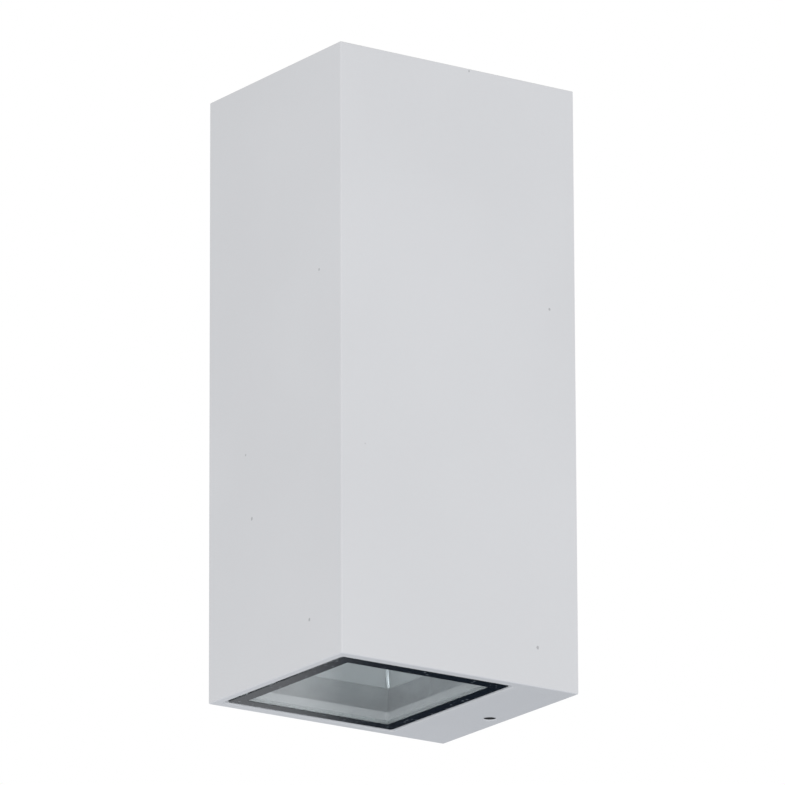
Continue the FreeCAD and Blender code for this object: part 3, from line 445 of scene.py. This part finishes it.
def rubber_material(name, colour, grain_size, roughness):
    """Rubber or foam with pale dust in its grain."""
    recipe = Recipe(name)
    grain = recipe.noise(1.0 / grain_size, 3.0, 0.6)
    dust = recipe.noise(120.0, 4.0, 0.6).between(0.52, 0.8)
    base = recipe.mix(dust * 0.35, colour, tuple(c * 2.4 + 0.02 for c in colour))
    normal = recipe.bump(grain, 0.00008, 0.5)
    return recipe.finish(
        recipe.principled(base_color=base, roughness=dust * 0.12 + roughness, normal=normal)
    )


def zinc_material(finish):
    """Galvanised sheet with its crystal pattern."""
    recipe = Recipe("galvanised_sheet")
    cells = recipe.node(
        "ShaderNodeTexVoronoi", {}, {"Vector": recipe.place(), "Scale": 240.0}, output="Color"
    )
    crystal = recipe.node("ShaderNodeSeparateColor", {}, {"Color": cells})
    streaks = recipe.noise(1.0, 3.0, 0.6, recipe.stretched((900.0, 900.0, 60.0)))
    zinc = tuple(finish.zinc)
    base = recipe.mix(crystal, scaled(zinc, 0.88), scaled(zinc, 1.05))
    rough = crystal * 0.14 + streaks * 0.08 + 0.26
    normal = recipe.bump(crystal * 0.4 + streaks * 0.6, 0.00003, 0.4)
    return recipe.finish(
        recipe.principled(base_color=base, roughness=rough, metallic=0.92, normal=normal)
    )


def brushed_material(name, colour, scale, roughness, metallic=1.0, mark=0.12):
    """Metal with fine parallel marks; the scale is larger across the marks."""
    recipe = Recipe(name)
    marks = recipe.noise(1.0, 3.0, 0.65, recipe.stretched(scale))
    patina = recipe.noise(80.0, 3.0, 0.6)
    base = recipe.mix(patina, scaled(colour, 0.9), scaled(colour, 1.06))
    normal = recipe.bump(marks, 0.00002, 0.5)
    rough = marks * mark + (roughness - mark / 2)
    return recipe.finish(
        recipe.principled(base_color=base, roughness=rough, metallic=metallic, normal=normal)
    )


def moulded_material(name, colour, roughness, grain_size=0.0006, shade=0.06):
    """Plastic, glaze, silicone or wire insulation with a slight change of colour."""
    recipe = Recipe(name)
    tone = recipe.noise(70.0, 3.0, 0.55)
    grain = recipe.noise(1.0 / grain_size, 2.0, 0.6)
    base = recipe.mix(tone, scaled(colour, 1 - shade), scaled(colour, 1 + shade))
    normal = recipe.bump(grain, 0.00003, 0.35)
    rough = grain * 0.08 + roughness
    return recipe.finish(recipe.principled(base_color=base, roughness=rough, normal=normal))


def earth_wire_material():
    """Green insulation with a yellow stripe down one side."""
    recipe = Recipe("earth_insulation")
    low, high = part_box("earth_lead")
    x, y, z = recipe.axes()
    lean = (high[0] - low[0]) / (high[2] - low[2])
    stripe = (x - z * lean + 2.0 * y) * 900.0
    wave = recipe.reckon("SINE", stripe)
    grain = recipe.noise(1500.0)
    base = recipe.mix(wave.between(-0.1, 0.1), (0.05, 0.25, 0.03), (0.72, 0.6, 0.02))
    normal = recipe.bump(grain, 0.00002, 0.3)
    rough = grain * 0.06 + 0.36
    return recipe.finish(recipe.principled(base_color=base, roughness=rough, normal=normal))


def lens_material():
    """Frosted clear plastic, slightly milky."""
    recipe = Recipe("lens_plastic")
    haze = recipe.noise(400.0, 2.0)
    clear = recipe.node("ShaderNodeBsdfTransparent", {}, {"Color": (0.9, 0.92, 0.92, 1.0)})
    milky = recipe.principled(base_color=(0.78, 0.8, 0.8), roughness=haze * 0.06 + 0.1)
    edge = recipe.node("ShaderNodeLayerWeight", {}, {"Blend": 0.35}, output="Facing")
    return recipe.finish(
        recipe.node("ShaderNodeMixShader", {}, {0: edge * 0.6 + 0.34, 1: clear, 2: milky})
    )


class LANTERN_OT_paint_casting(bpy.types.Operator):
    """Powder coat outside the casting and bare metal inside"""

    bl_idname = "lantern.paint_casting"
    bl_label = "Paint Casting"

    def execute(self, context):
        give(paint_material(context.scene.lantern_finish), "housing")
        return {"FINISHED"}


class LANTERN_OT_finish_windows(bpy.types.Operator):
    """Glass panes, their black borders, silicone frames and the rubber parts"""

    bl_idname = "lantern.finish_windows"
    bl_label = "Finish Windows"

    def execute(self, context):
        finish = context.scene.lantern_finish
        give(glass_material(finish), *both("glass"))
        give(enamel_material(finish), *both("glass_border"))
        silicone = moulded_material(
            "white_silicone", (0.8, 0.82, 0.83), 0.42, grain_size=0.0009, shade=0.04
        )
        give(silicone, *both("glass_gasket"))
        rubber = rubber_material(
            "black_rubber", (0.012, 0.012, 0.013), grain_size=0.0004, roughness=0.55
        )
        give(rubber, "cable_grommet", "tray_bush")
        foam = rubber_material(
            "seal_foam", (0.035, 0.035, 0.037), grain_size=0.0011, roughness=0.8
        )
        give(foam, "rear_seal")
        return {"FINISHED"}


class LANTERN_OT_finish_metalwork(bpy.types.Operator):
    """Sheet metal, reflectors, screws and brass parts"""

    bl_idname = "lantern.finish_metalwork"
    bl_label = "Finish Metalwork"

    def execute(self, context):
        finish = context.scene.lantern_finish
        give(zinc_material(finish), "wall_bracket", "gear_tray", "holder_bracket")
        satin = brushed_material(
            "reflector_aluminium", tuple(finish.aluminium), (260.0, 260.0, 24.0), 0.5, metallic=0.55
        )
        give(satin, *both("reflector"))
        steel = brushed_material("stainless_screws", tuple(finish.steel), (700.0,) * 3, 0.3)
        give(steel, *both("set_screw"), "tray_screws", "holder_bracket_screws")
        give(steel, "holder_bracket_nuts", "holder_screws", "reflector_screws")
        give(steel, "block_screws", "terminal_screws")
        brass = brushed_material("terminal_brass", tuple(finish.brass), (500.0,) * 3, 0.26)
        give(brass, "terminal_clamps", "earth_screw", "earth_nut", "earth_tag")
        give(brass, *both("holder_contacts"))
        return {"FINISHED"}


class LANTERN_OT_finish_wiring(bpy.types.Operator):
    """Ceramic lampholders, the terminal block and the insulated leads"""

    bl_idname = "lantern.finish_wiring"
    bl_label = "Finish Wiring"

    def execute(self, context):
        give(moulded_material("steatite", (0.78, 0.76, 0.7), 0.22), *both("lampholder"))
        give(moulded_material("terminal_plastic", (0.74, 0.73, 0.66), 0.34), "terminal_block")
        give(earth_wire_material(), "earth_lead")
        give(moulded_material("live_insulation", (0.12, 0.05, 0.02), 0.34), *both("live_lead"))
        give(
            moulded_material("neutral_insulation", (0.02, 0.09, 0.36), 0.34), *both("neutral_lead")
        )
        return {"FINISHED"}


class LANTERN_OT_finish_lamps(bpy.types.Operator):
    """Lamp shells, their pins and their light boards"""

    bl_idname = "lantern.finish_lamps"
    bl_label = "Finish Lamps"

    def execute(self, context):
        shell = brushed_material("lamp_shell", (0.72, 0.73, 0.74), (500.0,) * 3, 0.36, mark=0.06)
        give(shell, *both("lamp_body"))
        nickel = brushed_material("nickel_pins", (0.7, 0.68, 0.62), (900.0,) * 3, 0.2, mark=0.05)
        give(nickel, *both("lamp_pins"))
        give(moulded_material("white_board", (0.82, 0.83, 0.8), 0.4), *both("lamp_board"))
        return {"FINISHED"}


# ---- optics that are modelled here ----
def alone(piece):
    """Selects one object only, and makes it the active one."""
    bpy.ops.object.select_all(action="DESELECT")
    piece.select_set(True)
    bpy.context.view_layer.objects.active = piece


def apply_place(piece):
    alone(piece)
    bpy.ops.object.transform_apply(location=True, rotation=True, scale=True)


def round_edges(piece, width):
    alone(piece)
    bevel = piece.modifiers.new("edges", "BEVEL")
    bevel.width = width
    bevel.segments = BEVEL_SEGMENTS
    bevel.limit_method = "ANGLE"
    bpy.ops.object.modifier_apply(modifier=bevel.name)


def outer_face(end, low, high):
    """Which way the end faces, and the level of its outer face."""
    return (-1.0, low.z) if end == "lower" else (1.0, high.z)


def joined(pieces, name):
    bpy.ops.object.select_all(action="DESELECT")
    for piece in pieces:
        piece.select_set(True)
    bpy.context.view_layer.objects.active = pieces[0]
    bpy.ops.object.join()
    whole = bpy.context.view_layer.objects.active
    whole.name = name
    apply_place(whole)
    return whole


def ring_places(centre, gap):
    """The centre, six places round it and twelve round those."""
    places = [centre]
    for ring in (1, 2):
        count = 6 * ring
        for step in range(count):
            turn = 2 * math.pi * step / count
            reach = gap * ring
            places.append(centre + Vector((reach * math.cos(turn), reach * math.sin(turn), 0.0)))
    return places


def lens_optic(end, optic):
    """A moulded plate with a ring pattern of low domes on its outer face."""
    low, high = (Vector(corner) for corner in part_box(f"{end}_lamp_lens"))
    out, top = outer_face(end, low, high)
    middle = (low + high) / 2
    thick = high.z - low.z - optic.dome_height
    face = top - out * optic.dome_height
    bpy.ops.object.select_all(action="DESELECT")
    bpy.ops.mesh.primitive_cylinder_add(
        vertices=LENS_SIDES,
        radius=(high.x - low.x) / 2,
        depth=thick,
        location=(middle.x, middle.y, face - out * thick / 2),
    )
    plate = bpy.context.object
    round_edges(plate, LENS_EDGE)
    domes = []
    for place in ring_places(Vector((middle.x, middle.y, face)), optic.ring_gap):
        bpy.ops.mesh.primitive_uv_sphere_add(
            segments=DOME_SEGMENTS, ring_count=DOME_RINGS, radius=1.0, location=place
        )
        dome = bpy.context.object
        dome.scale = (optic.dome_radius, optic.dome_radius, optic.dome_height)
        domes.append(dome)
    cluster = joined(domes, f"{end}_domes")
    alone(plate)
    union = plate.modifiers.new("domes", "BOOLEAN")
    union.operation = "UNION"
    union.solver = "EXACT"
    union.use_self = True
    union.object = cluster
    bpy.ops.object.modifier_apply(modifier=union.name)
    bpy.data.objects.remove(cluster)
    plate.name = f"{end}_lens_optic"
    apply_place(plate)
    bpy.ops.object.shade_smooth_by_angle(angle=SMOOTH_ANGLE)
    return plate


def chip_cluster(end, optic):
    """Square light-emitting chips on the board, one under each inner dome."""
    low, high = (Vector(corner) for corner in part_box(f"{end}_lamp_board"))
    out, face = outer_face(end, low, high)
    centre = Vector(((low.x + high.x) / 2, (low.y + high.y) / 2, face))
    chips = []
    half_up = Vector((0.0, 0.0, out * optic.chip_height / 2))
    for place in ring_places(centre, optic.ring_gap)[:CHIP_COUNT]:
        bpy.ops.object.select_all(action="DESELECT")
        bpy.ops.mesh.primitive_cube_add(size=1.0, location=place + half_up)
        chip = bpy.context.object
        chip.scale = (optic.chip_side, optic.chip_side, optic.chip_height)
        apply_place(chip)
        dish_face(chip, face + out * optic.chip_height, out, optic)
        chips.append(chip)
    return joined(chips, f"{end}_led_chips")


def dish_face(chip, level, out, optic):
    """Insets the chip's outer face and sinks it, as the phosphor lies in a white frame."""
    alone(chip)
    bpy.ops.object.mode_set(mode="EDIT")
    bpy.ops.mesh.select_all(action="DESELECT")
    bpy.ops.object.mode_set(mode="OBJECT")
    for face in chip.data.polygons:
        face.select = abs(face.center.z - level) < LEVEL_TOLERANCE and abs(face.normal.z) > 0.9
    bpy.ops.object.mode_set(mode="EDIT")
    bpy.ops.mesh.select_mode(type="FACE")
    bpy.ops.mesh.inset(thickness=optic.chip_side * CHIP_FRAME)
    bpy.ops.transform.translate(value=(0.0, 0.0, -out * optic.chip_height * CHIP_SINK))
    bpy.ops.object.mode_set(mode="OBJECT")


def chip_material():
    """Yellow phosphor with a fine grain."""
    recipe = Recipe("led_chips")
    grain = recipe.noise(1800.0, 2.0)
    base = recipe.mix(grain, (0.82, 0.62, 0.1), (0.9, 0.72, 0.16))
    return recipe.finish(recipe.principled(base_color=base, roughness=grain * 0.1 + 0.3))


class LANTERN_OT_build_optics(bpy.types.Operator):
    """Domed lenses and light-emitting chips for both lamps"""

    bl_idname = "lantern.build_optics"
    bl_label = "Build Optics"

    def execute(self, context):
        optic = context.scene.lantern_optic
        lens_look = lens_material()
        chip_look = chip_material()
        for end in ENDS:
            plate = lens_optic(end, optic)
            plate.data.materials.append(lens_look)
            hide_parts(f"{end}_lamp_lens")
            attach(plate, f"{end}_lamp")
            chips = chip_cluster(end, optic)
            chips.data.materials.append(chip_look)
            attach(chips, f"{end}_lamp")
        return {"FINISHED"}


def seam_tab(end, optic):
    """The tab at the reflector's seam, which leans in from the corner and so mirrors the window."""
    low, high = (Vector(corner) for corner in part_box(f"{end}_reflector"))
    out, face = outer_face(end, low, high)
    corner = Vector((out * (high.x - REFLECTOR_SHEET), high.y - REFLECTOR_SHEET, face))
    inwards = Vector((-out, -1.0, 0.0)).normalized()
    upright = Vector((0.0, 0.0, -out))
    along = upright * math.cos(optic.tab_lean) + inwards * math.sin(optic.tab_lean)
    across = along.cross(inwards).normalized()
    place = corner + inwards * TAB_CLEARANCE + along * optic.tab_length / 2
    bpy.ops.object.select_all(action="DESELECT")
    bpy.ops.mesh.primitive_cube_add(size=1.0, location=place)
    tab = bpy.context.object
    tab.name = f"{end}_reflector_tab"
    tab.scale = (optic.tab_width, TAB_SHEET, optic.tab_length)
    tab.rotation_euler = Matrix((across, along.cross(across), along)).transposed().to_euler()
    apply_place(tab)
    round_edges(tab, TAB_EDGE)
    bpy.ops.object.shade_smooth_by_angle(angle=SMOOTH_ANGLE)
    return tab


class LANTERN_OT_fit_seam_tabs(bpy.types.Operator):
    """Burnished tabs at the reflectors' seams"""

    bl_idname = "lantern.fit_seam_tabs"
    bl_label = "Fit Seam Tabs"

    def execute(self, context):
        look = brushed_material(
            "burnished_tab", (0.62, 0.67, 0.70), (500.0, 500.0, 90.0), 0.34, mark=0.08
        )
        for end in ENDS:
            tab = seam_tab(end, context.scene.lantern_optic)
            tab.data.materials.append(look)
            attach(tab, "housing_body")
        return {"FINISHED"}


# ---- stage ----
def staged(thing, name, material):
    thing.name = name
    thing.data.materials.append(material)


def plain_material(name, colour, roughness):
    recipe = Recipe(name)
    return recipe.finish(recipe.principled(base_color=colour, roughness=roughness))


def add_area_light(name, place, aim, size, power):
    data = bpy.data.lights.new(name, "AREA")
    data.shape = "SQUARE"
    data.size = size
    data.energy = power
    lamp = bpy.data.objects.new(name, data)
    lamp.location = place
    lamp.rotation_euler = (aim - place).to_track_quat("-Z", "Y").to_euler()
    bpy.context.collection.objects.link(lamp)


def camera_direction(stage):
    """The unit vector from the camera into the scene."""
    level = math.cos(stage.elevation)
    x = -math.sin(stage.azimuth) * level
    y = math.cos(stage.azimuth) * level
    return Vector((x, y, -math.sin(stage.elevation)))


def add_card(stage, window):
    """A card, grey on one side and dark on the other, seen only as a reflection."""
    forward = camera_direction(stage)
    away = Vector((forward.x, forward.y, -forward.z))
    bpy.ops.object.select_all(action="DESELECT")
    bpy.ops.mesh.primitive_plane_add(
        size=stage.card_size, location=window + away * stage.card_reach
    )
    card = bpy.context.object
    card.rotation_euler = away.to_track_quat("-Z", "Y").to_euler()
    recipe = Recipe("graded_card")
    across = recipe.axes()[0]
    half = stage.card_fade / 2
    ragged = (recipe.noise(45.0, 3.0, 0.6) - 0.5) * stage.card_fade
    share = (across + ragged).between(stage.card_step - half, stage.card_step + half)
    colour = recipe.mix(share, tuple(stage.card_light), tuple(stage.card_dark))
    glow = recipe.node("ShaderNodeEmission", {}, {"Color": colour})
    staged(card, "graded_card", recipe.finish(glow))
    card.visible_camera = False
    card.visible_diffuse = False
    card.visible_transmission = False
    card.visible_shadow = False
    card.visible_volume_scatter = False


def add_camera(stage):
    low, high = (Vector(corner) for corner in cad_bounds)
    aim = (low + high) / 2 + AIM_SHIFT
    data = bpy.data.cameras.new("view")
    data.lens = stage.lens
    data.sensor_width = SENSOR_WIDTH
    data.clip_end = FAR_CLIP
    camera = bpy.data.objects.new("view", data)
    forward = camera_direction(stage)
    camera.location = aim - forward * stage.distance
    camera.rotation_euler = forward.to_track_quat("-Z", "Y").to_euler()
    camera.rotation_euler.rotate_axis("Z", -stage.roll)
    bpy.context.collection.objects.link(camera)
    bpy.context.scene.camera = camera


def set_world():
    world = bpy.data.worlds.new("studio")
    bpy.context.scene.world = world
    world.use_nodes = True
    background = world.node_tree.nodes["Background"]
    background.inputs["Color"].default_value = (1.0, 1.0, 1.0, 1.0)
    background.inputs["Strength"].default_value = 1.0


class LANTERN_OT_set_stage(bpy.types.Operator):
    """Pale floor, soft lights and the camera"""

    bl_idname = "lantern.set_stage"
    bl_label = "Set Stage"

    def execute(self, context):
        stage = context.scene.lantern_stage
        context.scene.view_settings.view_transform = "Standard"
        set_world()
        bpy.ops.object.select_all(action="DESELECT")
        bpy.ops.mesh.primitive_plane_add(size=FLOOR_SIZE, location=(0.0, 0.0, -stage.floor_drop))
        floor_look = plain_material("pale_floor", tuple(stage.floor_colour), 0.6)
        staged(bpy.context.object, "floor", floor_look)
        low, high = (Vector(corner) for corner in cad_bounds)
        middle = (low + high) / 2
        add_area_light("key", middle + KEY_PLACE, middle, KEY_SIZE, KEY_POWER)
        add_area_light("bounce", middle + BOUNCE_PLACE, middle, BOUNCE_SIZE, BOUNCE_POWER)
        add_card(stage, Vector((0.0, middle.y, low.z)))
        add_camera(stage)
        return {"FINISHED"}


class LANTERN_PT_panel(bpy.types.Panel):
    """The lantern's settings and steps"""

    bl_idname = "LANTERN_PT_panel"
    bl_label = "Box Wall Lantern"
    bl_space_type = "VIEW_3D"
    bl_region_type = "UI"
    bl_category = "Lantern"

    def draw(self, context):
        scene = context.scene
        for group in (scene.lantern_finish, scene.lantern_optic, scene.lantern_stage):
            for name in group.bl_rna.properties.keys():
                if name not in ("rna_type", "name"):
                    self.layout.prop(group, name)
        for step in STEPS:
            self.layout.operator(step.bl_idname)


STEPS = (
    LANTERN_OT_paint_casting,
    LANTERN_OT_finish_windows,
    LANTERN_OT_finish_metalwork,
    LANTERN_OT_finish_wiring,
    LANTERN_OT_finish_lamps,
    LANTERN_OT_build_optics,
    LANTERN_OT_fit_seam_tabs,
    LANTERN_OT_set_stage,
)
SETTINGS = (LanternFinishSettings, LanternOpticSettings, LanternStageSettings)


def register():
    for cls in SETTINGS + STEPS + (LANTERN_PT_panel,):
        bpy.utils.register_class(cls)
    bpy.types.Scene.lantern_finish = bpy.props.PointerProperty(type=LanternFinishSettings)
    bpy.types.Scene.lantern_optic = bpy.props.PointerProperty(type=LanternOpticSettings)
    bpy.types.Scene.lantern_stage = bpy.props.PointerProperty(type=LanternStageSettings)


def unregister():
    del bpy.types.Scene.lantern_stage
    del bpy.types.Scene.lantern_optic
    del bpy.types.Scene.lantern_finish
    for cls in reversed(SETTINGS + STEPS + (LANTERN_PT_panel,)):
        bpy.utils.unregister_class(cls)


def main():
    register()
    bpy.ops.lantern.paint_casting()
    bpy.ops.lantern.finish_windows()
    bpy.ops.lantern.finish_metalwork()
    bpy.ops.lantern.finish_wiring()
    bpy.ops.lantern.finish_lamps()
    bpy.ops.lantern.build_optics()
    bpy.ops.lantern.fit_seam_tabs()
    bpy.ops.lantern.set_stage()


if __name__ == "__main__":
    main()
